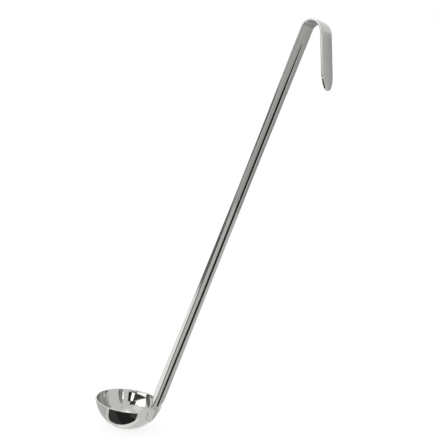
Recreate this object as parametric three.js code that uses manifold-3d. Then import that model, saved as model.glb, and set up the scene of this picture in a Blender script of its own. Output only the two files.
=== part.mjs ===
// A one-ounce serving ladle in polished stainless steel: a drawn bowl, a pressed strip handle with
// a flat hook, and the two spot welds that hold the handle's tongue to the bowl.
// Millimetres and degrees, +Z up. The origin is the middle of the flat under the bowl, the rim is level,
// the handle rises towards +X, and the XZ plane is the plane of symmetry.

import * as THREE from 'three';
import { mergeVertices } from 'three/addons/utils/BufferGeometryUtils.js';
import Module from 'manifold-3d';

const { clamp, degToRad, lerp, smoothstep } = THREE.MathUtils;

// Bowl sizes
const bowlRimRadius = 27.9;
const bowlHeight = 22.7;
const bowlWall = 1.2;
const rimRounding = 0.3;
const baseFlatRadius = 4.5;

// Strip sizes, before and after it is pressed
const stripThickness = 1.8;
const shaftWidth = 12.2;
const hookWidth = 14.8;
const hookWidenLength = 120;
const edgeRadius = 0.8;

// Shaft sizes: the lean is from upright, the lengths run along the strip, the end share is how narrow the
// groove gets where it runs out, and the side ramp is where the tongue's thin sides reach full thickness
const handleLean = 14.8;
const shaftLength = 325.5;
const grooveWidth = 3.5;
const grooveFloorWidth = 1.5;
const grooveDepth = 1.5;
const grooveFirstRise = 4;
const grooveEndLength = 3.5;
const grooveDish = 0.9;
const grooveDishLength = 110;
const grooveFadeLength = 52;
const grooveEndShare = 0.4;
const grooveRunOutLength = 8;
const hookPlainLength = 7;
const flangeThickness = 1.8;
const flangeDepth = 3.2;
const flangeFirstRise = 6;
const flangeRampLength = 14;
const flangeBend = 0.5;
const sideFirstRise = 4;
const sideRampLength = 8;

// Hook sizes: inside radii of the bend, the leg's splay from upright, and its rounded tip
const hookRiseRadius = 5.7;
const hookFallRadius = 8.7;
const legSplay = 12.5;
const legLength = 40.4;
const tipLength = 11.5;

// Tongue sizes: how far it reaches below the rim, its rounded end, and how thin its sides and end are
const tongueDrop = 10.5;
const tongueEndLength = 7.8;
const tongueEdgeThickness = 0.5;

// Spot welds: a nugget in a blind pocket of the tongue
const weldDiameter = 3;
const weldPocketDepth = 0.8;
const weldSpacing = 4.2;

// Clearances between pieces that are joined
const seatGap = 0.3;
const weldGap = 0.3;

// How finely the round shapes are cut
const bowlSides = 60;
const bowlRings = 11;
const bendSteps = 9;
const weldSides = 20;
const blendSteps = 6;
const endSteps = 6;

// Points closer than these are one point, and cuts through the strip closer than that are one cut
const mergeDistance = 1e-5;
const leastStep = 0.02;

// The most of an edge's thickness that its rounding takes
const largestRounding = 0.45;

const steelColour = 0xbbbbb8;
const weldColour = 0x9a9a98;
const polishRoughness = 0.12;

const wasm = await Module();
wasm.setup();

// A closed three.js geometry as a solid that can be cut
function toSolid(geometry) {
  const plain = geometry.clone();
  plain.deleteAttribute('normal');
  plain.deleteAttribute('uv');
  const merged = mergeVertices(plain, mergeDistance);
  const vertProperties = Float32Array.from(merged.attributes.position.array);
  const triVerts = Uint32Array.from(merged.index.array);
  return new wasm.Manifold(new wasm.Mesh({ numProp: 3, vertProperties, triVerts }));
}

// A cut solid back as a three.js geometry
function toGeometry(solid) {
  const mesh = solid.getMesh();
  const geometry = new THREE.BufferGeometry();
  geometry.setAttribute('position', new THREE.BufferAttribute(mesh.vertProperties, 3));
  geometry.setIndex(new THREE.BufferAttribute(mesh.triVerts, 1));
  geometry.computeVertexNormals();
  return geometry;
}

// A closed skin over rings of points, with a fan over each end
function loft(rings) {
  const count = rings[0].length;
  const middle = (ring) => ring.reduce((sum, p) => sum.add(p), new THREE.Vector3()).divideScalar(count);
  const points = [...rings.flat(), middle(rings[0]), middle(rings.at(-1))];
  const firstMiddle = points.length - 2;
  const lastMiddle = points.length - 1;
  const lastRing = (rings.length - 1) * count;
  const index = [];
  for (let k = 0; k < count; k++) {
    const next = (k + 1) % count;
    for (let row = 0; row < lastRing; row += count) {
      index.push(row + k, row + next, row + count + k);
      index.push(row + next, row + count + next, row + count + k);
    }
    index.push(firstMiddle, next, k);
    index.push(lastMiddle, lastRing + k, lastRing + next);
  }
  const geometry = new THREE.BufferGeometry().setFromPoints(points);
  geometry.setIndex(index);
  geometry.computeVertexNormals();
  return geometry;
}

function steelMesh(name, geometry, color) {
  const material = new THREE.MeshStandardMaterial({ color, metalness: 1, roughness: polishRoughness });
  const mesh = new THREE.Mesh(geometry, material);
  mesh.name = name;
  return mesh;
}

// The bowl's outside is part of a sphere, from the level rim down to the edge of the base flat
const sphereHeight = (bowlRimRadius ** 2 + bowlHeight ** 2 - baseFlatRadius ** 2) / (2 * bowlHeight);
const sphereRadius = Math.hypot(baseFlatRadius, sphereHeight);
const seatRadius = sphereRadius + seatGap;

// Points that lie the given distance outside the bowl, by angle below the sphere's middle
function bowlPoint(outside, angle) {
  const reach = sphereRadius + outside;
  return new THREE.Vector2(reach * Math.cos(angle), sphereHeight - reach * Math.sin(angle));
}

// The angle below the sphere's middle of a point that lies the given drop under the rim
function angleAtDrop(outside, drop) {
  return Math.asin((sphereHeight - bowlHeight + drop) / (sphereRadius + outside));
}

function makeBowl() {
  const outerStart = angleAtDrop(0, rimRounding);
  const outerEnd = angleAtDrop(0, bowlHeight);
  const innerStart = angleAtDrop(-bowlWall, rimRounding);
  const innerEnd = angleAtDrop(-bowlWall, bowlHeight - bowlWall);
  const innerRimRadius = bowlPoint(-bowlWall, angleAtDrop(-bowlWall, 0)).x;
  const profile = [new THREE.Vector2(0, 0)];
  for (let i = bowlRings; i >= 0; i--) {
    profile.push(bowlPoint(0, lerp(outerStart, outerEnd, i / bowlRings)));
  }
  profile.push(new THREE.Vector2(bowlRimRadius - rimRounding, bowlHeight));
  profile.push(new THREE.Vector2(innerRimRadius + rimRounding, bowlHeight));
  for (let i = 0; i <= bowlRings; i++) {
    profile.push(bowlPoint(-bowlWall, lerp(innerStart, innerEnd, i / bowlRings)));
  }
  profile.push(new THREE.Vector2(0, bowlWall));
  return new THREE.LatheGeometry(profile, bowlSides).rotateX(Math.PI / 2);
}

// The strip's front face follows this path in the XZ plane: down the bowl at the seat gap for the tongue,
// straight and tangent to the bowl for the shaft, then round the hook's two bends and down the leg.
// It leaves the bowl where the sphere leans as much as the shaft, so at the lean's angle below its middle.
const lean = degToRad(handleLean);
const splay = degToRad(legSplay);
const tongueEndAngle = angleAtDrop(seatGap, tongueDrop);

// The point at a distance from another, in a direction measured from +X towards +Z
function pointFrom(start, direction, distance) {
  const step = new THREE.Vector2(Math.cos(direction), Math.sin(direction));
  return start.clone().addScaledVector(step, distance);
}

// The curves of the path in order: tongue, shaft, the hook's rise and fall, and leg
function pathCurves() {
  const riseRadius = hookRiseRadius + stripThickness;
  const fallRadius = hookFallRadius + stripThickness;
  const upright = Math.PI / 2;
  const leaving = bowlPoint(seatGap, lean);
  const bend = pointFrom(leaving, upright - lean, shaftLength);
  const riseMiddle = pointFrom(bend, -lean, riseRadius);
  const fallMiddle = pointFrom(riseMiddle, upright, riseRadius - fallRadius);
  const legTop = pointFrom(fallMiddle, splay, fallRadius);
  const legEnd = pointFrom(legTop, splay - upright, legLength);
  return [
    new THREE.EllipseCurve(0, sphereHeight, seatRadius, seatRadius, -tongueEndAngle, -lean, false),
    new THREE.LineCurve(leaving, bend),
    new THREE.EllipseCurve(riseMiddle.x, riseMiddle.y, riseRadius, riseRadius, Math.PI - lean, upright, true),
    new THREE.EllipseCurve(fallMiddle.x, fallMiddle.y, fallRadius, fallRadius, upright, splay, true),
    new THREE.LineCurve(legTop, legEnd),
  ];
}

const path = new THREE.CurvePath();
pathCurves().forEach((curve) => path.add(curve));

// Distances along the strip, from the end of the tongue, at which something starts or ends
const [shaftStart, bendStart, bendTop, legStart, stripEnd] = path.getCurveLengths();
const tipStart = stripEnd - tipLength;
const flangeStart = shaftStart + flangeFirstRise;
const flangeFull = flangeStart + flangeRampLength;
const sideStart = shaftStart + sideFirstRise;
const sideFull = sideStart + sideRampLength;
const grooveStart = shaftStart + grooveFirstRise;
const grooveFull = grooveStart + grooveEndLength;
const dishEnd = grooveFull + grooveDishLength;
const fadeEnd = bendStart - hookPlainLength;
const fadeStart = fadeEnd - grooveFadeLength;
const runOutStart = fadeEnd - grooveRunOutLength;
const widenStart = fadeEnd - hookWidenLength;

// Where the strip is cut into sections: each stretch evenly, the round ends more finely towards their tips
function stationDistances() {
  const firstShare = 1 / endSteps ** 2;
  const roundEnd = Array.from({ length: endSteps }, (_, i) => lerp(firstShare, 1, (i / endSteps) ** 2));
  const tongueCuts = roundEnd.map((share) => share * tongueEndLength);
  const tipCuts = roundEnd.map((share) => stripEnd - share * tipLength);
  const lowerBreaks = [tongueEndLength, shaftStart, flangeStart, flangeFull, sideStart, sideFull];
  const grooveBreaks = [grooveStart, grooveFull, dishEnd, fadeStart, runOutStart, fadeEnd];
  const hookBreaks = [widenStart, bendStart, bendTop, legStart, tipStart];
  const ordered = [...lowerBreaks, ...grooveBreaks, ...hookBreaks].sort((a, b) => a - b);
  const stretches = ordered.slice(1).map((to, i) => [ordered[i], to]);
  const evenCuts = stretches.flatMap(([from, to]) => {
    const steps = from >= bendStart && to <= legStart ? bendSteps : blendSteps;
    return Array.from({ length: steps }, (_, i) => lerp(from, to, i / steps));
  });
  const cuts = [...tongueCuts, ...evenCuts, tipStart, ...tipCuts].sort((a, b) => a - b);
  return cuts.filter((cut, i) => i === 0 || cut - cuts[i - 1] > leastStep);
}

// The half width of a round end, as a share of the full one, at a distance from its tip
function roundedShare(distance, length) {
  const gone = 1 - Math.min(distance / length, 1);
  return Math.sqrt(1 - gone * gone);
}

// The strip's section at a distance along it: points across it (y) and from its front face to its back (m)
function sectionAt(distance) {
  const wide = smoothstep(distance, widenStart, legStart);
  const ends = roundedShare(distance, tongueEndLength) * roundedShare(stripEnd - distance, tipLength);
  const half = lerp(shaftWidth, hookWidth, wide) / 2 * ends;
  const scale = half / (shaftWidth / 2);
  const thick = lerp(tongueEdgeThickness, stripThickness, roundedShare(distance, shaftStart));
  const tall = smoothstep(distance, flangeStart, flangeFull);
  const sideThick = lerp(tongueEdgeThickness, stripThickness, smoothstep(distance, sideStart, sideFull));
  const fallen = clamp((distance - flangeFull) / (fadeEnd - flangeFull), 0, 1);
  const flange = flangeDepth * tall * (1 - fallen) ** 2;
  const narrow = lerp(1, grooveEndShare, smoothstep(distance, fadeStart, fadeEnd));
  const begun = smoothstep(distance, grooveStart, grooveFull);
  const ended = smoothstep(distance, runOutStart, fadeEnd);
  const pressed = begun * (1 - ended);
  const groove = grooveDepth * pressed * narrow;
  const dish = grooveDish * pressed * (1 - smoothstep(distance, grooveFull, dishEnd));
  const wallRun = (grooveWidth - grooveFloorWidth) / 2;
  const ridgeSpread = stripThickness * Math.tan(Math.atan2(grooveDepth, wallRun) / 2) * scale;
  const lip = grooveWidth / 2 * narrow * scale;
  const floor = grooveFloorWidth / 2 * narrow * scale;
  const round = Math.min(edgeRadius * Math.min(scale, 1), largestRounding * sideThick);
  const cut = round * (1 - Math.SQRT1_2);
  const inner = half - flangeThickness * scale;
  const right = [
    [floor, thick - dish - groove],
    [lip, thick - dish],
    [half - round, sideThick],
    [half - cut, sideThick - cut],
    [half, sideThick - round],
    [half, -flange],
    [inner, -flange],
    [inner - flangeBend * scale, 0],
    [lip + ridgeSpread, -dish],
    [floor + ridgeSpread, -dish - groove],
  ];
  const leftSide = right.map(([y, m]) => [-y, m]).reverse();
  return [...right, ...leftSide];
}

// How far the tongue bends round the bowl: full on the bowl, none where the flanges are full
function wrapAt(distance) {
  return 1 - smoothstep(distance, shaftStart, flangeFull);
}

function ringAt(distance) {
  const share = distance / stripEnd;
  const point = path.getPoint(share);
  const along = path.getTangent(share);
  const back = new THREE.Vector3(along.y, 0, -along.x);
  const front = new THREE.Vector3(point.x, 0, point.y);
  return sectionAt(distance).map(([y, m]) => {
    const sag = wrapAt(distance) * (seatRadius - Math.sqrt(seatRadius * seatRadius - y * y));
    return front.clone().addScaledVector(back, m - sag).setY(y);
  });
}

// The welds' drops under the rim: a pair about the middle of the part of the tongue that laps the bowl
const upperWeldDrop = (tongueDrop - weldSpacing) / 2;
const lowerWeldDrop = (tongueDrop + weldSpacing) / 2;

// A round plug square to the tongue's front face at a drop under the rim, between two depths into the strip
function weldPlug(drop, radius, fromDepth, toDepth) {
  const angle = angleAtDrop(seatGap, drop);
  const seat = bowlPoint(seatGap, angle);
  const normal = new THREE.Vector2(Math.cos(angle), -Math.sin(angle));
  const centre = seat.clone().addScaledVector(normal, (fromDepth + toDepth) / 2);
  const turn = new THREE.Quaternion().setFromUnitVectors(
    new THREE.Vector3(0, 1, 0),
    new THREE.Vector3(normal.x, 0, normal.y),
  );
  return new THREE.CylinderGeometry(radius, radius, toDepth - fromDepth, weldSides)
    .applyQuaternion(turn)
    .translate(centre.x, 0, centre.y);
}

function makeHandle() {
  const strip = toSolid(loft(stationDistances().map(ringAt)));
  const pockets = [upperWeldDrop, lowerWeldDrop].map((drop) => {
    return toSolid(weldPlug(drop, weldDiameter / 2 + weldGap, -weldPocketDepth, weldPocketDepth));
  });
  return toGeometry(pockets.reduce((solid, pocket) => solid.subtract(pocket), strip));
}

function makeWeld(drop) {
  return weldPlug(drop, weldDiameter / 2, weldGap - seatGap, weldPocketDepth - weldGap);
}

const ladle = new THREE.Group();
ladle.add(steelMesh('bowl', makeBowl(), steelColour));
ladle.add(steelMesh('handle', makeHandle(), steelColour));
ladle.add(steelMesh('spot_weld_upper', makeWeld(upperWeldDrop), weldColour));
ladle.add(steelMesh('spot_weld_lower', makeWeld(lowerWeldDrop), weldColour));

export default ladle;
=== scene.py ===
"""Looks for a one-ounce serving ladle in polished stainless steel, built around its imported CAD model.

The bowl and the handle are modelled again with softened edges and stand for their CAD nodes. The two
spot welds inside the joint stay as they are and get a finish. Sizes are in millimetres and turn into
metres when a mesh is finished. The frame is the CAD model's: the origin is the middle of the flat under
the bowl, +Z is up, and the handle rises towards +X.
"""

import logging
import math
from collections.abc import Mapping
from dataclasses import dataclass
from enum import Enum

import bmesh
import bpy
from mathutils import Matrix, Vector


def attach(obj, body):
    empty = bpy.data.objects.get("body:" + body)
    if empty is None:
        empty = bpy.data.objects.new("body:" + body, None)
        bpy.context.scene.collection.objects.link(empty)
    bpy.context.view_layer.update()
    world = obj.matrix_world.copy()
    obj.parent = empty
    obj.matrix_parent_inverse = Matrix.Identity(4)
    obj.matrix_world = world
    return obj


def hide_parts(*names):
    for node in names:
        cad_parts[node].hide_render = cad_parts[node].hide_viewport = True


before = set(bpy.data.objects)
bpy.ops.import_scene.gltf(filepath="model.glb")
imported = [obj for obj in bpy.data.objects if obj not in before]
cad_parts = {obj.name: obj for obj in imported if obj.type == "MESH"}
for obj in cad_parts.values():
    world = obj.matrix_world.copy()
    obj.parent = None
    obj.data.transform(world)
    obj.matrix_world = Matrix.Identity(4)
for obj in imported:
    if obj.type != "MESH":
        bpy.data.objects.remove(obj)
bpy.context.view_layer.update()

MM = 0.001
BODY = "root"
PICTURE_WIDTH = 440

log = logging.getLogger("ladle")


def linear_colour(code: str) -> tuple[float, float, float, float]:
    """Turns an sRGB hex colour into the linear colour that a shader takes.

    Args:
        code: Six hex digits, with or without a leading #.

    Returns:
        Linear red, green and blue with an alpha of 1.
    """
    digits = code.lstrip("#")
    shares = [int(digits[i : i + 2], 16) / 255 for i in (0, 2, 4)]
    red, green, blue = (s / 12.92 if s <= 0.04045 else ((s + 0.055) / 1.055) ** 2.4 for s in shares)
    return red, green, blue, 1.0


def add_node(
    tree: bpy.types.NodeTree,
    kind: str,
    inputs: Mapping[str | int, object] | None = None,
    **settings: object,
) -> bpy.types.Node:
    """Adds a shader node with its settings and links.

    Args:
        tree: The tree that gets the node.
        kind: The node's type, without the leading ShaderNode.
        inputs: For each input socket, another node's output to link or a value to set.
        **settings: Properties of the node itself.

    Returns:
        The new node.
    """
    node = tree.nodes.new("ShaderNode" + kind)
    for name, value in settings.items():
        setattr(node, name, value)
    for socket, value in (inputs or {}).items():
        if isinstance(value, bpy.types.NodeSocket):
            tree.links.new(value, node.inputs[socket])
        else:
            node.inputs[socket].default_value = value
    return node


def empty_material(name: str) -> tuple[bpy.types.Material, bpy.types.NodeTree]:
    """Makes a material with no nodes in it.

    Args:
        name: The material's name.

    Returns:
        The material and its node tree.
    """
    material = bpy.data.materials.new(name)
    material.use_nodes = True
    material.node_tree.nodes.clear()
    return material, material.node_tree


def object_from(bm: bmesh.types.BMesh, name: str, smooth: bool = True) -> bpy.types.Object:
    """Turns a finished bmesh into an object at the origin, from millimetres to metres.

    Args:
        bm: The mesh in millimetres, which is freed.
        name: The object's name.
        smooth: Whether the faces are shaded smooth.

    Returns:
        The object, linked to the scene.
    """
    bmesh.ops.scale(bm, vec=(MM, MM, MM), verts=bm.verts)
    for face in bm.faces:
        face.smooth = smooth
    mesh = bpy.data.meshes.new(name)
    bm.to_mesh(mesh)
    bm.free()
    piece = bpy.data.objects.new(name, mesh)
    bpy.context.scene.collection.objects.link(piece)
    return piece


class LineRun(Enum):
    """Which way the polishing lines of a finish run."""

    ROUND_THE_BOWL = "round"
    ALONG_THE_STRIP = "along"


@dataclass(frozen=True)
class PolishedSteel:
    """Stainless steel sheet, drawn or pressed and then buffed: sharp reflections, a little uneven, with fine
    lines left by the buffing wheel and a duller patch where the ladle rubs on what it rests on.

    The buffing lines are about 0.1 mm apart on the real piece, too fine to show in the render, so
    line_spacing draws them as coarse as it needs to.
    """

    WORN_CORE = 0.35
    GRAIN_RANGE = (0.3, 0.7)

    name: str
    run: LineRun
    colour: str
    worn_colour: str
    roughness: float
    line_roughness: float
    worn_roughness: float
    line_spacing: float
    line_length: float
    line_height: float
    wave_size: float
    wave_height: float
    worn_middle: tuple[float, float, float]
    worn_radius: float

    def line_vector(self, tree: bpy.types.NodeTree) -> tuple[bpy.types.NodeSocket, bpy.types.NodeSocket]:
        """Gives the place on the piece that its patterns read.

        Args:
            tree: The material's node tree.

        Returns:
            The place for the lines, stretched along their run, and the plain place in metres.
        """
        across = 1 / (self.line_spacing * MM)
        along = 1 / (self.line_length * MM)
        if self.run is LineRun.ALONG_THE_STRIP:
            plain = add_node(tree, "Attribute", attribute_name=Handle.STRIP_LAYER).outputs["Vector"]
            stretched = add_node(tree, "Mapping", {"Vector": plain, "Scale": (along, across, across)})
            return stretched.outputs[0], plain
        plain = add_node(tree, "TexCoord").outputs["Object"]
        flat = add_node(tree, "VectorMath", {0: plain, 1: (1.0, 1.0, 0.0)}, operation="MULTIPLY")
        reach = add_node(tree, "VectorMath", {0: flat.outputs[0]}, operation="LENGTH")
        parts = add_node(tree, "SeparateXYZ", {0: plain})
        turned = add_node(tree, "CombineXYZ", {0: reach.outputs["Value"], 1: parts.outputs["Z"], 2: 0.0})
        scale = (across, across, along)
        stretched = add_node(tree, "Mapping", {"Vector": turned.outputs[0], "Scale": scale})
        return stretched.outputs[0], plain

    def material(self) -> bpy.types.Material:
        """Builds the node material.

        Returns:
            The material, named for the finish.
        """
        material, tree = empty_material(self.name)
        lines_at, place = self.line_vector(tree)
        lines = add_node(
            tree,
            "TexNoise",
            {"Vector": lines_at, "Scale": 1.0, "Detail": 3.0, "Roughness": 0.6},
        )
        waves = add_node(
            tree,
            "TexNoise",
            {"Vector": place, "Scale": 1 / (self.wave_size * MM), "Detail": 1.0, "Roughness": 0.4},
        )
        middle, radius = Vector(self.worn_middle) * MM, self.worn_radius * MM
        gone = add_node(tree, "VectorMath", {0: place, 1: middle}, operation="DISTANCE")
        worn = add_node(
            tree,
            "MapRange",
            {"Value": gone.outputs["Value"], 1: self.WORN_CORE * radius, 2: radius, 3: 1.0, 4: 0.0},
            interpolation_type="SMOOTHSTEP",
        )
        low, high = self.GRAIN_RANGE
        grain = add_node(tree, "MapRange", {"Value": lines.outputs[0], 1: low, 2: high, 3: 0.0, 4: 1.0})
        scuffs = add_node(tree, "Math", {0: worn.outputs[0], 1: grain.outputs[0]}, operation="MULTIPLY")
        lined = add_node(
            tree,
            "Math",
            {0: grain.outputs[0], 1: self.line_roughness, 2: self.roughness},
            operation="MULTIPLY_ADD",
        )
        rough = add_node(
            tree,
            "Math",
            {0: scuffs.outputs[0], 1: self.worn_roughness, 2: lined.outputs[0]},
            operation="MULTIPLY_ADD",
        )
        tint = add_node(
            tree,
            "Mix",
            {0: scuffs.outputs[0], 6: linear_colour(self.colour), 7: linear_colour(self.worn_colour)},
            data_type="RGBA",
        )
        wavy = add_node(
            tree,
            "Bump",
            {"Strength": 1.0, "Distance": self.wave_height * MM, "Height": waves.outputs[0]},
        )
        combed = add_node(
            tree,
            "Bump",
            {
                "Strength": 1.0,
                "Distance": self.line_height * MM,
                "Height": lines.outputs[0],
                "Normal": wavy.outputs[0],
            },
        )
        shader = add_node(
            tree,
            "BsdfPrincipled",
            {
                "Base Color": tint.outputs[2],
                "Metallic": 1.0,
                "Roughness": rough.outputs[0],
                "Normal": combed.outputs[0],
            },
        )
        add_node(tree, "OutputMaterial", {"Surface": shader.outputs[0]})
        return material


@dataclass(frozen=True)
class WeldSteel:
    """Fused stainless steel inside a spot weld: dull grey with straw and blue heat tint in blotches."""

    BLUE_STOP, PLAIN_STOP, STRAW_STOP = 0.35, 0.5, 0.65

    name: str
    colour: str
    straw: str
    blue: str
    roughness: float
    grain_roughness: float
    blotch_size: float
    grain_size: float
    grain_height: float

    def material(self) -> bpy.types.Material:
        """Builds the node material.

        Returns:
            The material, named for the finish.
        """
        material, tree = empty_material(self.name)
        place = add_node(tree, "TexCoord").outputs["Object"]
        blotches = add_node(tree, "TexNoise", {"Vector": place, "Scale": 1 / (self.blotch_size * MM)})
        grain = add_node(tree, "TexNoise", {"Vector": place, "Scale": 1 / (self.grain_size * MM)})
        tint = add_node(tree, "ValToRGB", {0: blotches.outputs[0]})
        stops = tint.color_ramp.elements
        stops[0].position, stops[0].color = self.BLUE_STOP, linear_colour(self.blue)
        stops[1].position, stops[1].color = self.STRAW_STOP, linear_colour(self.straw)
        stops.new(self.PLAIN_STOP).color = linear_colour(self.colour)
        rough = add_node(
            tree,
            "Math",
            {0: grain.outputs[0], 1: self.grain_roughness, 2: self.roughness},
            operation="MULTIPLY_ADD",
        )
        pitted = add_node(
            tree,
            "Bump",
            {"Strength": 1.0, "Distance": self.grain_height * MM, "Height": grain.outputs[0]},
        )
        shader = add_node(
            tree,
            "BsdfPrincipled",
            {
                "Base Color": tint.outputs[0],
                "Metallic": 1.0,
                "Roughness": rough.outputs[0],
                "Normal": pitted.outputs[0],
            },
        )
        add_node(tree, "OutputMaterial", {"Surface": shader.outputs[0]})
        return material


@dataclass
class Bowl:
    """The drawn bowl: part of a sphere, of even wall, with a small flat under it and a rounded lip."""

    NODE = "bowl"

    rim_radius: float = 27.9
    height: float = 22.7
    wall: float = 1.2
    flat_radius: float = 4.5
    lip_rounding: float = 0.42
    flat_blend: float = 1.2
    sides: int = 144
    rings: int = 54
    edge_segments: int = 4
    level: float = 1e-3

    @property
    def middle(self) -> float:
        """The height of the sphere's middle, from the rim and the edge of the flat, which both lie on it."""
        return (self.rim_radius**2 + self.height**2 - self.flat_radius**2) / (2 * self.height)

    @property
    def radius(self) -> float:
        """The sphere's radius."""
        return math.hypot(self.flat_radius, self.middle)

    def angle_at(self, outside: float, drop: float) -> float:
        """The angle below the sphere's middle of a point on or round the bowl.

        Args:
            outside: How far outside the bowl's outer face it lies.
            drop: How far it lies under the rim.

        Returns:
            The angle, in radians.
        """
        return math.asin((self.middle - self.height + drop) / (self.radius + outside))

    def add_profile(self, bm: bmesh.types.BMesh, outside: float) -> bmesh.types.BMVert:
        """Draws one side of the wall as a line from the rim down the sphere and across the flat to the axis.

        Args:
            bm: The mesh that gets the line, with the sphere's middle as its origin.
            outside: How far outside the bowl's outer face it lies, so minus the wall for the inner face.

        Returns:
            The line's point at the rim.
        """
        before = set(bm.verts)
        reach, start = self.radius + outside, self.angle_at(outside, 0.0)
        rim = bm.verts.new((reach * math.cos(start), 0.0, -reach * math.sin(start)))
        bmesh.ops.spin(
            bm, geom=[rim], cent=(0, 0, 0), axis=(0, 1, 0), angle=math.pi / 2 - start, steps=self.rings
        )
        line = [v for v in bm.verts if v not in before]
        edges = list({e for v in line for e in v.link_edges})
        floor = -self.middle - outside
        bmesh.ops.bisect_plane(
            bm, geom=line + edges, plane_co=(0, 0, floor), plane_no=(0, 0, -1), clear_outer=True
        )
        edge = min((v for v in bm.verts if v not in before), key=lambda v: v.co.z)
        axis_point = bmesh.ops.extrude_vert_indiv(bm, verts=[edge])["verts"]
        bmesh.ops.scale(bm, vec=(0.0, 1.0, 1.0), verts=axis_point)
        return max((v for v in bm.verts if v not in before), key=lambda v: v.co.z)

    def build(self) -> bpy.types.Object:
        """Models the bowl and puts it in place of its CAD node.

        Returns:
            The bowl.
        """
        bm = bmesh.new()
        rim = [self.add_profile(bm, outside) for outside in (0.0, -self.wall)]
        bmesh.ops.contextual_create(bm, geom=rim)
        profile = bm.verts[:] + bm.edges[:]
        bmesh.ops.spin(
            bm,
            geom=profile,
            cent=(0, 0, 0),
            axis=(0, 0, 1),
            angle=math.tau,
            steps=self.sides,
            use_merge=True,
        )
        bmesh.ops.remove_doubles(bm, verts=bm.verts, dist=self.level)
        bmesh.ops.recalc_face_normals(bm, faces=bm.faces)
        for height, rounding in (
            (self.height - self.middle, self.lip_rounding),
            (-self.middle, self.flat_blend),
            (self.wall - self.middle, self.flat_blend),
        ):
            flat = {f for f in bm.faces if all(abs(v.co.z - height) < self.level for v in f.verts)}
            loop = [e for f in flat for e in f.edges if sum(g in flat for g in e.link_faces) == 1]
            bmesh.ops.bevel(
                bm,
                geom=loop,
                affect="EDGES",
                offset=rounding,
                segments=self.edge_segments,
                profile=0.5,
                material=-1,
            )
        bmesh.ops.translate(bm, vec=(0.0, 0.0, self.middle), verts=bm.verts)
        piece = object_from(bm, "bowl_drawn")
        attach(piece, BODY)
        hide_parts(self.NODE)
        return piece

    def dress(self, piece: bpy.types.Object) -> None:
        """Gives the bowl its finish.

        Args:
            piece: The bowl.
        """
        finish = PolishedSteel(
            name="buffed_stainless_steel_bowl",
            run=LineRun.ROUND_THE_BOWL,
            colour="#BBBBB8",
            worn_colour="#B2B2AF",
            roughness=0.045,
            line_roughness=0.03,
            worn_roughness=0.22,
            line_spacing=0.8,
            line_length=40.0,
            line_height=0.0012,
            wave_size=14.0,
            wave_height=0.05,
            worn_middle=(0.0, 0.0, 0.0),
            worn_radius=7.5,
        )
        piece.data.materials.append(finish.material())


@dataclass
class StripPlace:
    """A place on the strip's front face: where it is in the XZ plane, and its heading from upright."""

    x: float
    z: float
    heading: float

    def moved(self, distance: float) -> "StripPlace":
        """The place at a distance straight ahead."""
        across, up = math.sin(self.heading), math.cos(self.heading)
        return StripPlace(self.x + across * distance, self.z + up * distance, self.heading)

    def turned(self, radius: float, angle: float) -> "StripPlace":
        """The place after a bend to the right, of that radius, through that angle."""
        later = self.heading + angle
        x = self.x + radius * (math.cos(self.heading) - math.cos(later))
        z = self.z + radius * (math.sin(later) - math.sin(self.heading))
        return StripPlace(x, z, later)


def smooth_share(value: float, start: float, end: float) -> float:
    """The share of the way from start to end, eased at both ends.

    Args:
        value: The place between them.
        start: Where the share is 0.
        end: Where the share is 1.

    Returns:
        A share from 0 to 1.
    """
    share = min(max((value - start) / (end - start), 0.0), 1.0)
    return share * share * (3 - 2 * share)


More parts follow.
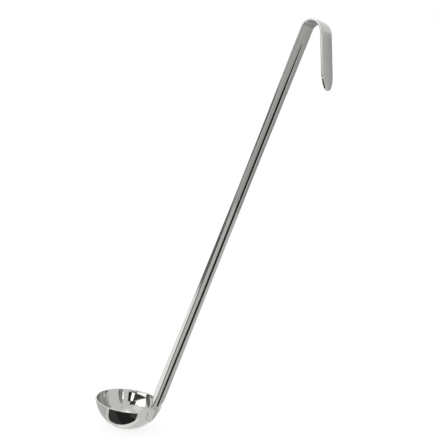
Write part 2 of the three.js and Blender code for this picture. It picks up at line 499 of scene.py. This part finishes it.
@dataclass
class Handle:
    """The pressed strip: a tongue that laps the bowl, a grooved shaft with turned edges, and a flat hook."""

    NODE = "handle"
    STRIP_LAYER = "strip_place"

    bowl: Bowl
    thickness: float = 1.8
    shaft_width: float = 12.2
    hook_width: float = 14.8
    hook_widen_length: float = 120.0
    lean: float = 14.8
    shaft_length: float = 325.5
    groove_width: float = 3.5
    groove_floor: float = 1.5
    groove_depth: float = 1.5
    groove_first_rise: float = 4.0
    groove_end_length: float = 3.5
    groove_dish: float = 0.9
    groove_dish_length: float = 110.0
    groove_fade_length: float = 52.0
    groove_end_share: float = 0.4
    groove_run_out: float = 8.0
    hook_plain_length: float = 7.0
    flange_thickness: float = 1.8
    flange_depth: float = 3.2
    flange_first_rise: float = 6.0
    flange_ramp_length: float = 14.0
    flange_bend: float = 0.5
    flange_settle: float = 2.0
    side_first_rise: float = 4.0
    side_ramp_length: float = 8.0
    rise_radius: float = 5.7
    fall_radius: float = 8.7
    leg_splay: float = 12.5
    leg_length: float = 40.4
    tip_length: float = 11.5
    tongue_drop: float = 10.5
    tongue_end_length: float = 7.8
    tongue_edge: float = 0.5
    tongue_feather: float = 0.02
    tongue_lap: float = 0.285
    seat_gap: float = 0.3
    weld_diameter: float = 3.0
    weld_pocket_depth: float = 0.8
    weld_spacing: float = 4.2
    weld_gap: float = 0.3
    pocket_sides: int = 32
    crown: float = 0.1
    edge_rounding: float = 0.8
    flange_rounding: float = 0.5
    bend_rounding: float = 0.4
    ridge_rounding: float = 0.5
    groove_lip_rounding: float = 0.45
    groove_floor_rounding: float = 0.18
    rounding_share: float = 0.34
    hold_reach: float = 1.3
    corner_steps: int = 4
    flat_steps: int = 3
    end_steps: int = 12
    first_end_share: float = 1 / 36

    def __post_init__(self) -> None:
        """Works out the path's ends and the distances at which something starts or stops."""
        lean = math.radians(self.lean)
        self.seat = self.bowl.radius + self.seat_gap
        self.tongue_angle = self.bowl.angle_at(self.seat_gap, self.tongue_drop)
        self.shaft_start = self.seat * (self.tongue_angle - lean)
        self.shaft_foot = self.tongue_place(lean)
        bend = self.shaft_foot.moved(self.shaft_length)
        self.rise_turn = math.pi / 2 - lean
        self.fall_turn = math.pi / 2 - math.radians(self.leg_splay)
        self.rise_bend = self.rise_radius + self.thickness
        self.fall_bend = self.fall_radius + self.thickness
        top = bend.turned(self.rise_bend, self.rise_turn)
        self.corners = [bend, top, top.turned(self.fall_bend, self.fall_turn)]
        self.bend_start = self.shaft_start + self.shaft_length
        self.bend_top = self.bend_start + self.rise_bend * self.rise_turn
        self.leg_start = self.bend_top + self.fall_bend * self.fall_turn
        self.strip_end = self.leg_start + self.leg_length
        self.flange_start = self.shaft_start + self.flange_first_rise
        self.flange_full = self.flange_start + self.flange_ramp_length
        self.side_start = self.shaft_start + self.side_first_rise
        self.side_full = self.side_start + self.side_ramp_length
        self.groove_start = self.shaft_start + self.groove_first_rise
        self.groove_full = self.groove_start + self.groove_end_length
        self.dish_end = self.groove_full + self.groove_dish_length
        self.fade_end = self.bend_start - self.hook_plain_length
        self.fade_start = self.fade_end - self.groove_fade_length
        self.run_out_start = self.fade_end - self.groove_run_out
        self.widen_start = self.fade_end - self.hook_widen_length

    def tongue_place(self, angle: float) -> StripPlace:
        """The place on the tongue's front face at an angle below the middle of the bowl's sphere."""
        return StripPlace(self.seat * math.cos(angle), self.bowl.middle - self.seat * math.sin(angle), angle)

    def place_at(self, distance: float) -> StripPlace:
        """The place on the front face at a distance along the strip from the tongue's end.

        Args:
            distance: The distance, in millimetres.

        Returns:
            The place and heading there.
        """
        if distance < self.shaft_start:
            return self.tongue_place(self.tongue_angle - distance / self.seat)
        if distance <= self.bend_start:
            return self.shaft_foot.moved(distance - self.shaft_start)
        if distance <= self.bend_top:
            return self.corners[0].turned(self.rise_bend, (distance - self.bend_start) / self.rise_bend)
        if distance <= self.leg_start:
            return self.corners[1].turned(self.fall_bend, (distance - self.bend_top) / self.fall_bend)
        return self.corners[2].moved(distance - self.leg_start)

    def stations(self) -> list[float]:
        """Where the strip is cut into sections: closely where its shape changes, most closely at its ends.

        Returns:
            Distances along the strip, in order.
        """
        settled = self.flange_full + self.flange_settle
        stretches = [
            (self.tongue_end_length, self.shaft_start, 8),
            (self.shaft_start, settled, 22),
            (settled, self.fade_start, 14),
            (self.fade_start, self.run_out_start, 20),
            (self.run_out_start, self.fade_end, 10),
            (self.fade_end, self.bend_start, 4),
            (self.bend_start, self.bend_top, 24),
            (self.bend_top, self.leg_start, 26),
            (self.leg_start, self.strip_end - self.tip_length, 6),
        ]
        cuts = [a + (b - a) * i / steps for a, b, steps in stretches for i in range(steps)]
        for i in range(self.end_steps):
            share = self.first_end_share + (1 - self.first_end_share) * (i / self.end_steps) ** 2
            cuts.append(share * self.tongue_end_length)
            cuts.append(self.strip_end - share * self.tip_length)
        cuts.append(self.strip_end - self.tip_length)
        return sorted(cuts)

    def corners_at(self, distance: float) -> list[tuple[float, float, float]]:
        """The corners of the right half of the section.

        Args:
            distance: The distance along the strip.

        Returns:
            For each corner, its place across the strip, its depth from the front face to the back, and how
            much of its edges the rounding takes.
        """
        wide = smooth_share(distance, self.widen_start, self.leg_start)
        ends = self.rounded(distance, self.tongue_end_length)
        ends *= self.rounded(self.strip_end - distance, self.tip_length)
        half = (self.shaft_width + (self.hook_width - self.shaft_width) * wide) / 2 * ends
        scale = half / (self.shaft_width / 2)
        filled = self.rounded(distance, self.shaft_start)
        thick = self.tongue_edge + (self.thickness - self.tongue_edge) * filled
        tall = smooth_share(distance, self.flange_start, self.flange_full)
        sided = smooth_share(distance, self.side_start, self.side_full)
        laid = -self.tongue_lap * (1 - sided)
        side = laid + self.tongue_feather + (self.thickness - self.tongue_feather) * sided
        fallen = min(max((distance - self.flange_full) / (self.fade_end - self.flange_full), 0.0), 1.0)
        flange = self.flange_depth * tall * (1 - fallen) ** 2
        narrow = 1 - (1 - self.groove_end_share) * smooth_share(distance, self.fade_start, self.fade_end)
        pressed = smooth_share(distance, self.groove_start, self.groove_full)
        pressed *= 1 - smooth_share(distance, self.run_out_start, self.fade_end)
        groove = self.groove_depth * pressed * narrow
        dish = self.groove_dish * pressed * (1 - smooth_share(distance, self.groove_full, self.dish_end))
        wall_run = (self.groove_width - self.groove_floor) / 2
        spread = self.thickness * math.tan(math.atan2(self.groove_depth, wall_run) / 2) * scale
        lip, floor = self.groove_width / 2 * narrow * scale, self.groove_floor / 2 * narrow * scale
        inner = half - self.flange_thickness * scale
        return [
            (floor, thick - dish - groove, self.groove_floor_rounding),
            (lip, thick - dish, self.groove_lip_rounding),
            (half, side, self.edge_rounding),
            (half, laid - flange, self.flange_rounding),
            (inner, -flange, self.flange_rounding),
            (inner - self.flange_bend * scale, 0.0, self.bend_rounding),
            (lip + spread, -dish, self.bend_rounding),
            (floor + spread, -dish - groove, self.ridge_rounding),
        ]

    @staticmethod
    def rounded(distance: float, length: float) -> float:
        """The half width of a round end, as a share of the full one, at a distance from its tip."""
        gone = 1 - min(distance / length, 1.0)
        return math.sqrt(1 - gone * gone)

    def section(self, distance: float) -> list[tuple[float, float]]:
        """The whole section, with rounded corners and slightly crowned faces.

        Each rounding takes at most a share of the sides that meet there, and has a holding point on either
        side of it, so that the smooth shading stays within it.

        Args:
            distance: The distance along the strip.

        Returns:
            Points across the strip and from its front face to its back, in order round it.
        """
        right = self.corners_at(distance)
        ring = right + [(-y, m, cut) for y, m, cut in reversed(right)]
        half = max(y for y, _, _ in right)
        points: list[Vector] = []
        for i, (y, m, cut) in enumerate(ring):
            following = ring[(i + 1) % len(ring)]
            corner = Vector((y, m))
            sides = [Vector(ring[i - 1][:2]) - corner, Vector(following[:2]) - corner]
            most = [self.rounding_share * side.length for side in sides]
            taken = min(cut, *most)
            before, after = (side.normalized() for side in sides)
            start, end = corner + before * taken, corner + after * taken
            points.append(corner + before * taken * self.hold_reach)
            for k in range(self.corner_steps + 1):
                s = k / self.corner_steps
                points.append(start * (1 - s) ** 2 + corner * 2 * s * (1 - s) + end * s**2)
            last = corner + after * taken * self.hold_reach
            reach = sides[1].length - self.hold_reach * (taken + min(following[2], most[1]))
            points.extend(last + after * reach * k / self.flat_steps for k in range(self.flat_steps))
        middle = self.thickness / 2
        lifts = [min(max((p.y - middle) / middle, -1.0), 1.0) for p in points]
        return [(p.x, p.y - self.crown * lift * (p.x / half) ** 2) for p, lift in zip(points, lifts)]

    def ring_at(self, distance: float) -> list[tuple[Vector, Vector]]:
        """The section in its place.

        Args:
            distance: The distance along the strip.

        Returns:
            For each point, where it is, and its place on the strip as if that were laid flat, in metres.
        """
        here = self.place_at(distance)
        back = Vector((math.cos(here.heading), 0.0, -math.sin(here.heading)))
        front = Vector((here.x, 0.0, here.z))
        wrap = 1 - smooth_share(distance, self.shaft_start, self.flange_full)
        ring = []
        for y, m in self.section(distance):
            sag = wrap * (self.seat - math.sqrt(self.seat**2 - y * y))
            ring.append((front + back * (m - sag) + Vector((0.0, y, 0.0)), Vector((distance, y, m)) * MM))
        return ring

    def build(self) -> bpy.types.Object:
        """Models the handle and puts it in place of its CAD node.

        Returns:
            The handle.
        """
        bm = bmesh.new()
        layer = bm.verts.layers.float_vector.new(self.STRIP_LAYER)
        cuts = self.stations()
        first = self.ring_at(cuts[0])
        ring = bmesh.ops.create_circle(bm, cap_ends=True, segments=len(first), radius=1.0)["verts"]
        self.lay(ring, first, layer)
        for cut in cuts[1:]:
            edges = [e for e in (bm.edges.get((a, b)) for a, b in zip(ring, ring[1:] + ring[:1])) if e]
            fresh = bmesh.ops.extrude_edge_only(bm, edges=edges)["geom"]
            new = {v for v in fresh if isinstance(v, bmesh.types.BMVert)}
            ring = [next(e.other_vert(v) for e in v.link_edges if e.other_vert(v) in new) for v in ring]
            self.lay(ring, self.ring_at(cut), layer)
        bmesh.ops.contextual_create(bm, geom=ring)
        bmesh.ops.recalc_face_normals(bm, faces=bm.faces)
        piece = object_from(bm, "handle_pressed")
        self.cut_pockets(piece)
        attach(piece, BODY)
        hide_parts(self.NODE)
        return piece

    @staticmethod
    def lay(
        ring: list[bmesh.types.BMVert],
        places: list[tuple[Vector, Vector]],
        layer: bmesh.types.BMLayerItem,
    ) -> None:
        """Moves a ring of points to their section.

        Args:
            ring: The points, in order.
            places: For each point, where it goes and its place on the flat strip.
            layer: The layer that keeps the place on the flat strip.
        """
        for vertex, (where, flat) in zip(ring, places):
            vertex.co = where
            vertex[layer] = flat

    def cut_pockets(self, piece: bpy.types.Object) -> None:
        """Cuts the blind pockets of the two spot welds into the tongue's front face.

        Args:
            piece: The handle.
        """
        cutters = []
        for spacing in (-self.weld_spacing, self.weld_spacing):
            drop = (self.tongue_drop + spacing) / 2
            seat = self.tongue_place(self.bowl.angle_at(self.seat_gap, drop))
            normal = Vector((math.cos(seat.heading), 0.0, -math.sin(seat.heading)))
            turn = normal.to_track_quat("Z", "Y").to_matrix().to_4x4()
            radius = self.weld_diameter / 2 + self.weld_gap
            bm = bmesh.new()
            bmesh.ops.create_cone(
                bm,
                cap_ends=True,
                segments=self.pocket_sides,
                radius1=radius,
                radius2=radius,
                depth=2 * self.weld_pocket_depth,
                matrix=Matrix.Translation((seat.x, 0.0, seat.z)) @ turn,
            )
            cutter = object_from(bm, "weld_pocket_cutter", smooth=False)
            cut = piece.modifiers.new("weld_pocket", "BOOLEAN")
            cut.operation, cut.solver, cut.object = "DIFFERENCE", "EXACT", cutter
            cutters.append(cutter)
        graph = bpy.context.evaluated_depsgraph_get()
        mesh = bpy.data.meshes.new_from_object(piece.evaluated_get(graph))
        piece.modifiers.clear()
        piece.data = mesh
        for cutter in cutters:
            bpy.data.objects.remove(cutter)

    def dress(self, piece: bpy.types.Object) -> None:
        """Gives the handle its finish.

        Args:
            piece: The handle.
        """
        finish = PolishedSteel(
            name="buffed_stainless_steel_strip",
            run=LineRun.ALONG_THE_STRIP,
            colour="#B8B8B5",
            worn_colour="#ADADAA",
            roughness=0.06,
            line_roughness=0.05,
            worn_roughness=0.15,
            line_spacing=0.9,
            line_length=70.0,
            line_height=0.004,
            wave_size=22.0,
            wave_height=0.03,
            worn_middle=(self.bend_top, 0.0, self.thickness),
            worn_radius=9.0,
        )
        piece.data.materials.append(finish.material())


@dataclass
class SpotWelds:
    """The two weld nuggets between the tongue and the bowl, which stay as their CAD nodes."""

    nodes: tuple[str, ...] = ("spot_weld_upper", "spot_weld_lower")

    def dress(self) -> None:
        """Gives both nuggets their finish."""
        finish = WeldSteel(
            name="fused_stainless_steel",
            colour="#9A9A98",
            straw="#A89B7C",
            blue="#7F8896",
            roughness=0.35,
            grain_roughness=0.2,
            blotch_size=1.8,
            grain_size=0.35,
            grain_height=0.02,
        )
        material = finish.material()
        for node in self.nodes:
            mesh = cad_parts[node].data
            mesh.materials.clear()
            mesh.materials.append(material)


@dataclass(frozen=True)
class StudioCard:
    """A card that only reflections see, set as a patch of a sphere round a point near the ladle.

    Its bottom and top are given at its first azimuth, and at its last one where they differ there. Towards
    its sides it may fade to the white of the surround. The shares of the half width that fade are given in
    the order first azimuth, last azimuth, bottom, top.
    """

    GLOW_LAYER = "glow"

    name: str
    brightness: float
    azimuths: tuple[float, float]
    heights: tuple[float, float]
    last_heights: tuple[float, float] | None = None
    distance: float = 650.0
    middle: tuple[float, float, float] = (0.0, 0.0, 15.0)
    soft: tuple[float, float, float, float] = (0.0, 0.0, 0.0, 0.0)
    cuts: int = 24

    def build(self) -> bpy.types.Object:
        """Makes the card.

        Returns:
            The card.
        """
        bm = bmesh.new()
        glow = bm.verts.layers.float.new(self.GLOW_LAYER)
        bmesh.ops.create_grid(bm, x_segments=self.cuts, y_segments=self.cuts, size=1.0)
        for vertex in bm.verts:
            x, y = vertex.co.x, vertex.co.y
            sides = [(at, soft) for at, soft in zip((-x, x, -y, y), self.soft) if soft]
            edge = max((smooth_share(at, 1.0 - soft, 1.0) for at, soft in sides), default=0.0)
            vertex[glow] = self.brightness + (1.0 - self.brightness) * edge
            along, up = (x + 1) / 2, (y + 1) / 2
            azimuth = math.radians(self.azimuths[0] + (self.azimuths[1] - self.azimuths[0]) * along)
            ends = zip(self.heights, self.last_heights or self.heights)
            bottom, top = (first + (last - first) * along for first, last in ends)
            height = math.radians(bottom + (top - bottom) * up)
            level = math.cos(height) * self.distance
            offset = (math.cos(azimuth) * level, math.sin(azimuth) * level, math.sin(height) * self.distance)
            vertex.co = Vector(self.middle) + Vector(offset)
        return stage_card(object_from(bm, self.name))


def stage_card(card: bpy.types.Object, brightness: float | None = None) -> bpy.types.Object:
    """Gives a card its glow and hides it from all but reflections.

    Args:
        card: The card.
        brightness: Its even glow, where 1 is white, or None to read the glow that its points hold.

    Returns:
        The card.
    """
    material, tree = empty_material(card.name)
    level = brightness
    if level is None:
        level = add_node(tree, "Attribute", attribute_name=StudioCard.GLOW_LAYER).outputs["Fac"]
    glow = add_node(tree, "Emission", {"Color": (1.0, 1.0, 1.0, 1.0), "Strength": level})
    add_node(tree, "OutputMaterial", {"Surface": glow.outputs[0]})
    card.data.materials.append(material)
    card.visible_camera = card.visible_diffuse = card.visible_shadow = False
    card.visible_transmission = card.visible_volume_scatter = False
    return card


@dataclass(frozen=True)
class FloorCloth:
    """A four-sided cloth on the floor that only reflections see, set out from one corner.

    Each side from that corner has an azimuth and a length, and the corner itself may be rounded.
    """

    ROUNDING_SEGMENTS = 3

    name: str
    brightness: float
    corner: tuple[float, float]
    sides: tuple[tuple[float, float], tuple[float, float]]
    rounding: float = 0.0
    lift: float = 0.02

    def build(self) -> bpy.types.Object:
        """Lays the cloth.

        Returns:
            The cloth.
        """
        bm = bmesh.new()
        bmesh.ops.create_grid(bm, x_segments=1, y_segments=1, size=0.5)
        bmesh.ops.translate(bm, vec=(0.5, 0.5, 0.0), verts=bm.verts)
        turns = [(math.radians(azimuth), length) for azimuth, length in self.sides]
        columns = [(math.cos(turn) * length, math.sin(turn) * length) for turn, length in turns]
        bmesh.ops.transform(bm, matrix=Matrix(columns).transposed().to_4x4(), verts=bm.verts)
        if self.rounding:
            bmesh.ops.bevel(
                bm,
                geom=[min(bm.verts, key=lambda v: v.co.length)],
                affect="VERTICES",
                offset=self.rounding,
                segments=self.ROUNDING_SEGMENTS,
                profile=0.5,
                material=-1,
            )
        bmesh.ops.translate(bm, vec=(*self.corner, self.lift), verts=bm.verts)
        return stage_card(object_from(bm, self.name), self.brightness)


@dataclass
class Studio:
    """A white sweep with soft light, and the cards and cloths that draw dark and light shapes in steel."""

    CLOTH_DARK = 0.03
    CLOTH_END = (-6.4, -20.3)
    CLOTH_ROUNDING = 2.5
    HOOK_MIDDLE = (118.0, 0.0, 332.0)
    HOOK_DISTANCE = 600.0

    floor_size: float = 4000.0
    floor_drop: float = 0.05
    floor_glow: float = 0.8
    floor_colour: str = "#8C8C8C"
    surround_light: float = 0.9
    lamp_distance: float = 1.2

    CLOTHS = (
        FloorCloth("dark_cloth_front", CLOTH_DARK, (-9.4, -45.0), ((-17.0, 2500.0), (-105.0, 2500.0))),
        FloorCloth("dark_cloth_end", CLOTH_DARK, CLOTH_END, ((12.7, 35.3), (-97.0, 60.0)), CLOTH_ROUNDING),
        FloorCloth("dark_cloth_side", CLOTH_DARK, (28.0, -12.6), ((-16.0, 2500.0), (-97.0, 2500.0))),
        FloorCloth(
            "dark_fold_end",
            0.065,
            CLOTH_END,
            ((12.7, 17.0), (-94.0, 60.0)),
            CLOTH_ROUNDING,
            lift=0.03,
        ),
        FloorCloth("dark_fold_side", 0.08, (31.5, -13.6), ((-16.0, 20.0), (-97.0, 14.0)), lift=0.03),
        FloorCloth("bright_paper_front", 1.28, (4.0, -18.0), ((12.7, 31.0), (90.0, 5.4))),
        FloorCloth("dark_cloth_left", 0.2, (-549.0, -404.0), ((-126.0, 550.0), (-36.0, 500.0)), lift=0.03),
        FloorCloth("bright_paper_left", 1.55, (-80.0, -42.0), ((-126.0, 500.0), (-36.0, 100.0)), lift=0.04),
        FloorCloth("grey_paper_right", 0.82, (-185.0, 124.0), ((63.0, 2000.0), (-27.0, 500.0))),
        FloorCloth("grey_paper_foot", 0.72, (6.3, 37.0), ((-40.0, 50.0), (50.0, 66.0)), lift=0.03),
        FloorCloth("grey_paper_left", 0.78, (-7.0, -8.0), ((-105.0, 45.0), (170.0, 120.0))),
    )

    CARDS = (
        StudioCard("flag_camera_side", 0.02, (-57.0, -45.0), (12.0, 46.0)),
        StudioCard("flag_under_window", 0.03, (-76.0, -57.0), (10.5, 14.0), (8.5, 13.0)),
        StudioCard("window", 2.2, (-68.0, -57.0), (14.0, 43.0)),
        StudioCard("flag_over_window", 0.06, (-86.0, -57.0), (40.0, 53.0), (44.0, 58.0)),
        StudioCard("flag_front", 0.08, (-114.0, -68.5), (14.5, 16.5), (14.5, 45.0)),
        StudioCard("strip_low", 2.0, (-113.0, -78.0), (5.0, 13.5), (9.0, 14.0)),
        StudioCard("box_left", 2.1, (-114.0, -84.0), (17.0, 47.5), (39.0, 48.0), distance=1500.0),
        StudioCard("box_left_end", 2.1, (-135.0, -114.0), (35.0, 36.0), (17.0, 47.5), distance=1500.0),
        StudioCard(
            "paper_over_box",
            1.3,
            (-145.0, -85.0),
            (42.0, 62.0),
            (54.0, 72.0),
            soft=(0.3, 0.3, 0.0, 0.4),
        ),
        StudioCard("flag_left", 0.18, (-126.0, -113.0), (-2.0, 23.0), (-2.0, 13.5), distance=1100.0),
        StudioCard("flag_left_end", 0.22, (-152.0, -126.0), (22.5, 29.0), (6.0, 25.0), distance=1100.0),
        StudioCard("flag_left_low", 0.03, (-138.0, -118.0), (3.0, 5.5), distance=1000.0),
        StudioCard("grey_streak", 0.7, (-12.0, -2.0), (8.0, 48.0), soft=(0.6, 0.6, 0.4, 0.4)),
        StudioCard(
            "flat_left",
            0.4,
            (150.0, 205.0),
            (-10.0, 14.0),
            distance=900.0,
            soft=(0.4, 0.4, 0.4, 0.4),
        ),
        StudioCard(
            "flat_right",
            0.42,
            (35.0, 150.0),
            (-75.0, 5.0),
            middle=HOOK_MIDDLE,
            distance=HOOK_DISTANCE,
            soft=(0.7, 0.0, 0.0, 0.0),
        ),
        StudioCard(
            "flat_right_top",
            0.45,
            (51.0, 150.0),
            (5.0, 23.0),
            middle=HOOK_MIDDLE,
            distance=HOOK_DISTANCE,
            soft=(0.44, 0.0, 0.0, 0.72),
        ),
        StudioCard("paper_above", 1.25, (-180.0, 180.0), (72.0, 84.0), soft=(0.0, 0.0, 0.5, 0.0)),
        StudioCard("softbox_above", 3.0, (-180.0, 180.0), (84.0, 90.0)),
        StudioCard("paper_behind", 1.7, (112.0, 150.0), (10.0, 34.0), distance=350.0),
    )

    def build(self) -> None:
        """Builds the surround, the floor, the lamps, the cloths and the cards."""
        self.build_surround()
        self.build_floor()
        for card in (*self.CLOTHS, *self.CARDS):
            card.build()
            log.info("card %s", card.name)
        self.lamp("softbox_right", azimuth=-21.0, height=26.0, size=(0.15, 0.5), brightness=1.7)
        self.lamp(
            "softbox_left",
            azimuth=-106.0,
            height=37.0,
            size=(0.95, 0.5),
            brightness=2.1,
            mirrored=False,
        )
        bpy.context.scene.view_settings.view_transform = "Standard"

    @staticmethod
    def seen(tree: bpy.types.NodeTree) -> bpy.types.NodeSocket:
        """Gives 1 where the camera, a reflection or a see-through ray looks, and 0 for the light itself."""
        path = add_node(tree, "LightPath").outputs
        either = add_node(
            tree, "Math", {0: path["Is Camera Ray"], 1: path["Is Glossy Ray"]}, operation="MAXIMUM"
        )
        any_ray = add_node(
            tree, "Math", {0: either.outputs[0], 1: path["Is Transmission Ray"]}, operation="MAXIMUM"
        )
        return any_ray.outputs[0]

    def build_surround(self) -> None:
        """Makes the world white where it is seen, with an even soft light."""
        world = bpy.data.worlds.new("white_sweep")
        world.use_nodes = True
        tree = world.node_tree
        tree.nodes.clear()
        level = add_node(
            tree,
            "MapRange",
            {"Value": self.seen(tree), 1: 0.0, 2: 1.0, 3: self.surround_light, 4: 1.0},
        )
        glow = add_node(tree, "Background", {"Color": (1.0, 1.0, 1.0, 1.0), "Strength": level.outputs[0]})
        add_node(tree, "OutputWorld", {"Surface": glow.outputs[0]})
        bpy.context.scene.world = world

    def build_floor(self) -> None:
        """Lays a pale floor that looks white and keeps a faint shadow."""
        bm = bmesh.new()
        bmesh.ops.create_grid(bm, x_segments=1, y_segments=1, size=self.floor_size)
        bmesh.ops.translate(bm, vec=(0.0, 0.0, -self.floor_drop), verts=bm.verts)
        floor = object_from(bm, "floor")
        material, tree = empty_material("pale_sweep_paper")
        paper = add_node(tree, "BsdfDiffuse", {"Color": linear_colour(self.floor_colour)})
        strength = add_node(tree, "Math", {0: self.seen(tree), 1: self.floor_glow}, operation="MULTIPLY")
        glow = add_node(tree, "Emission", {"Color": (1.0, 1.0, 1.0, 1.0), "Strength": strength.outputs[0]})
        both = add_node(tree, "AddShader", {0: paper.outputs[0], 1: glow.outputs[0]})
        add_node(tree, "OutputMaterial", {"Surface": both.outputs[0]})
        floor.data.materials.append(material)

    def lamp(
        self,
        name: str,
        azimuth: float,
        height: float,
        size: tuple[float, float],
        brightness: float,
        mirrored: bool = True,
    ) -> None:
        """Hangs a soft lamp that faces the bowl.

        Args:
            name: The lamp's name.
            azimuth: Its direction from the bowl, in degrees from +X towards +Y.
            height: Its angle above level, in degrees.
            size: Its width and height, in metres.
            brightness: How bright its face is, where 1 is white.
            mirrored: Whether reflections see it. Where they don't, a card stands for it there.
        """
        light = bpy.data.lights.new(name, "AREA")
        light.shape, light.size, light.size_y = "RECTANGLE", *size
        light.energy = brightness * math.pi * size[0] * size[1]
        lamp = bpy.data.objects.new(name, light)
        turn, rise = math.radians(azimuth), math.radians(height)
        towards = Vector((math.cos(turn) * math.cos(rise), math.sin(turn) * math.cos(rise), math.sin(rise)))
        lamp.visible_glossy = mirrored
        lamp.location = towards * self.lamp_distance
        lamp.rotation_euler = towards.to_track_quat("Z", "Y").to_euler()
        bpy.context.scene.collection.objects.link(lamp)


@dataclass(frozen=True)
class PhotoCamera:
    """The camera that was fitted to the photograph's edges."""

    place: tuple[float, float, float] = (407.55, -485.173, 253.353)
    yaw: float = 35.3703
    pitch: float = -6.2973
    roll: float = 8.9603
    focal_pixels: float = 784.82
    sensor: float = 36.0
    clip: tuple[float, float] = (0.01, 50.0)

    def build(self) -> bpy.types.Object:
        """Sets up the camera.

        Returns:
            The camera.
        """
        yaw, pitch, roll = (math.radians(a) for a in (self.yaw, self.pitch, self.roll))
        ahead = Vector((-math.sin(yaw) * math.cos(pitch), math.cos(yaw) * math.cos(pitch), math.sin(pitch)))
        level = Vector((math.cos(yaw), math.sin(yaw), 0.0))
        upright = level.cross(ahead)
        right = level * math.cos(roll) + upright * math.sin(roll)
        up = upright * math.cos(roll) - level * math.sin(roll)
        data = bpy.data.cameras.new("photo_camera")
        data.sensor_fit, data.sensor_width = "HORIZONTAL", self.sensor
        data.lens = self.focal_pixels * self.sensor / PICTURE_WIDTH
        data.clip_start, data.clip_end = self.clip
        camera = bpy.data.objects.new("photo_camera", data)
        turn = Matrix((right, up, -ahead)).transposed()
        camera.matrix_world = Matrix.Translation(Vector(self.place) * MM) @ turn.to_4x4()
        bpy.context.scene.collection.objects.link(camera)
        bpy.context.scene.camera = camera
        return camera


def report_piece(piece: bpy.types.Object) -> None:
    """Logs a finished piece and its size.

    Args:
        piece: The piece.
    """
    size = [round(side / MM, 2) for side in piece.dimensions]
    log.info("piece %s: %s mm, %d faces", piece.name, size, len(piece.data.polygons))


def main() -> None:
    """Builds the ladle, its studio and its camera."""
    logging.basicConfig(level=logging.INFO, format="%(name)s: %(message)s")
    PhotoCamera().build()
    bowl = Bowl()
    handle = Handle(bowl)
    for part in (bowl, handle):
        piece = part.build()
        part.dress(piece)
        report_piece(piece)
    welds = SpotWelds()
    welds.dress()
    for node in welds.nodes:
        report_piece(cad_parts[node])
    Studio().build()


if __name__ == "__main__":
    main()
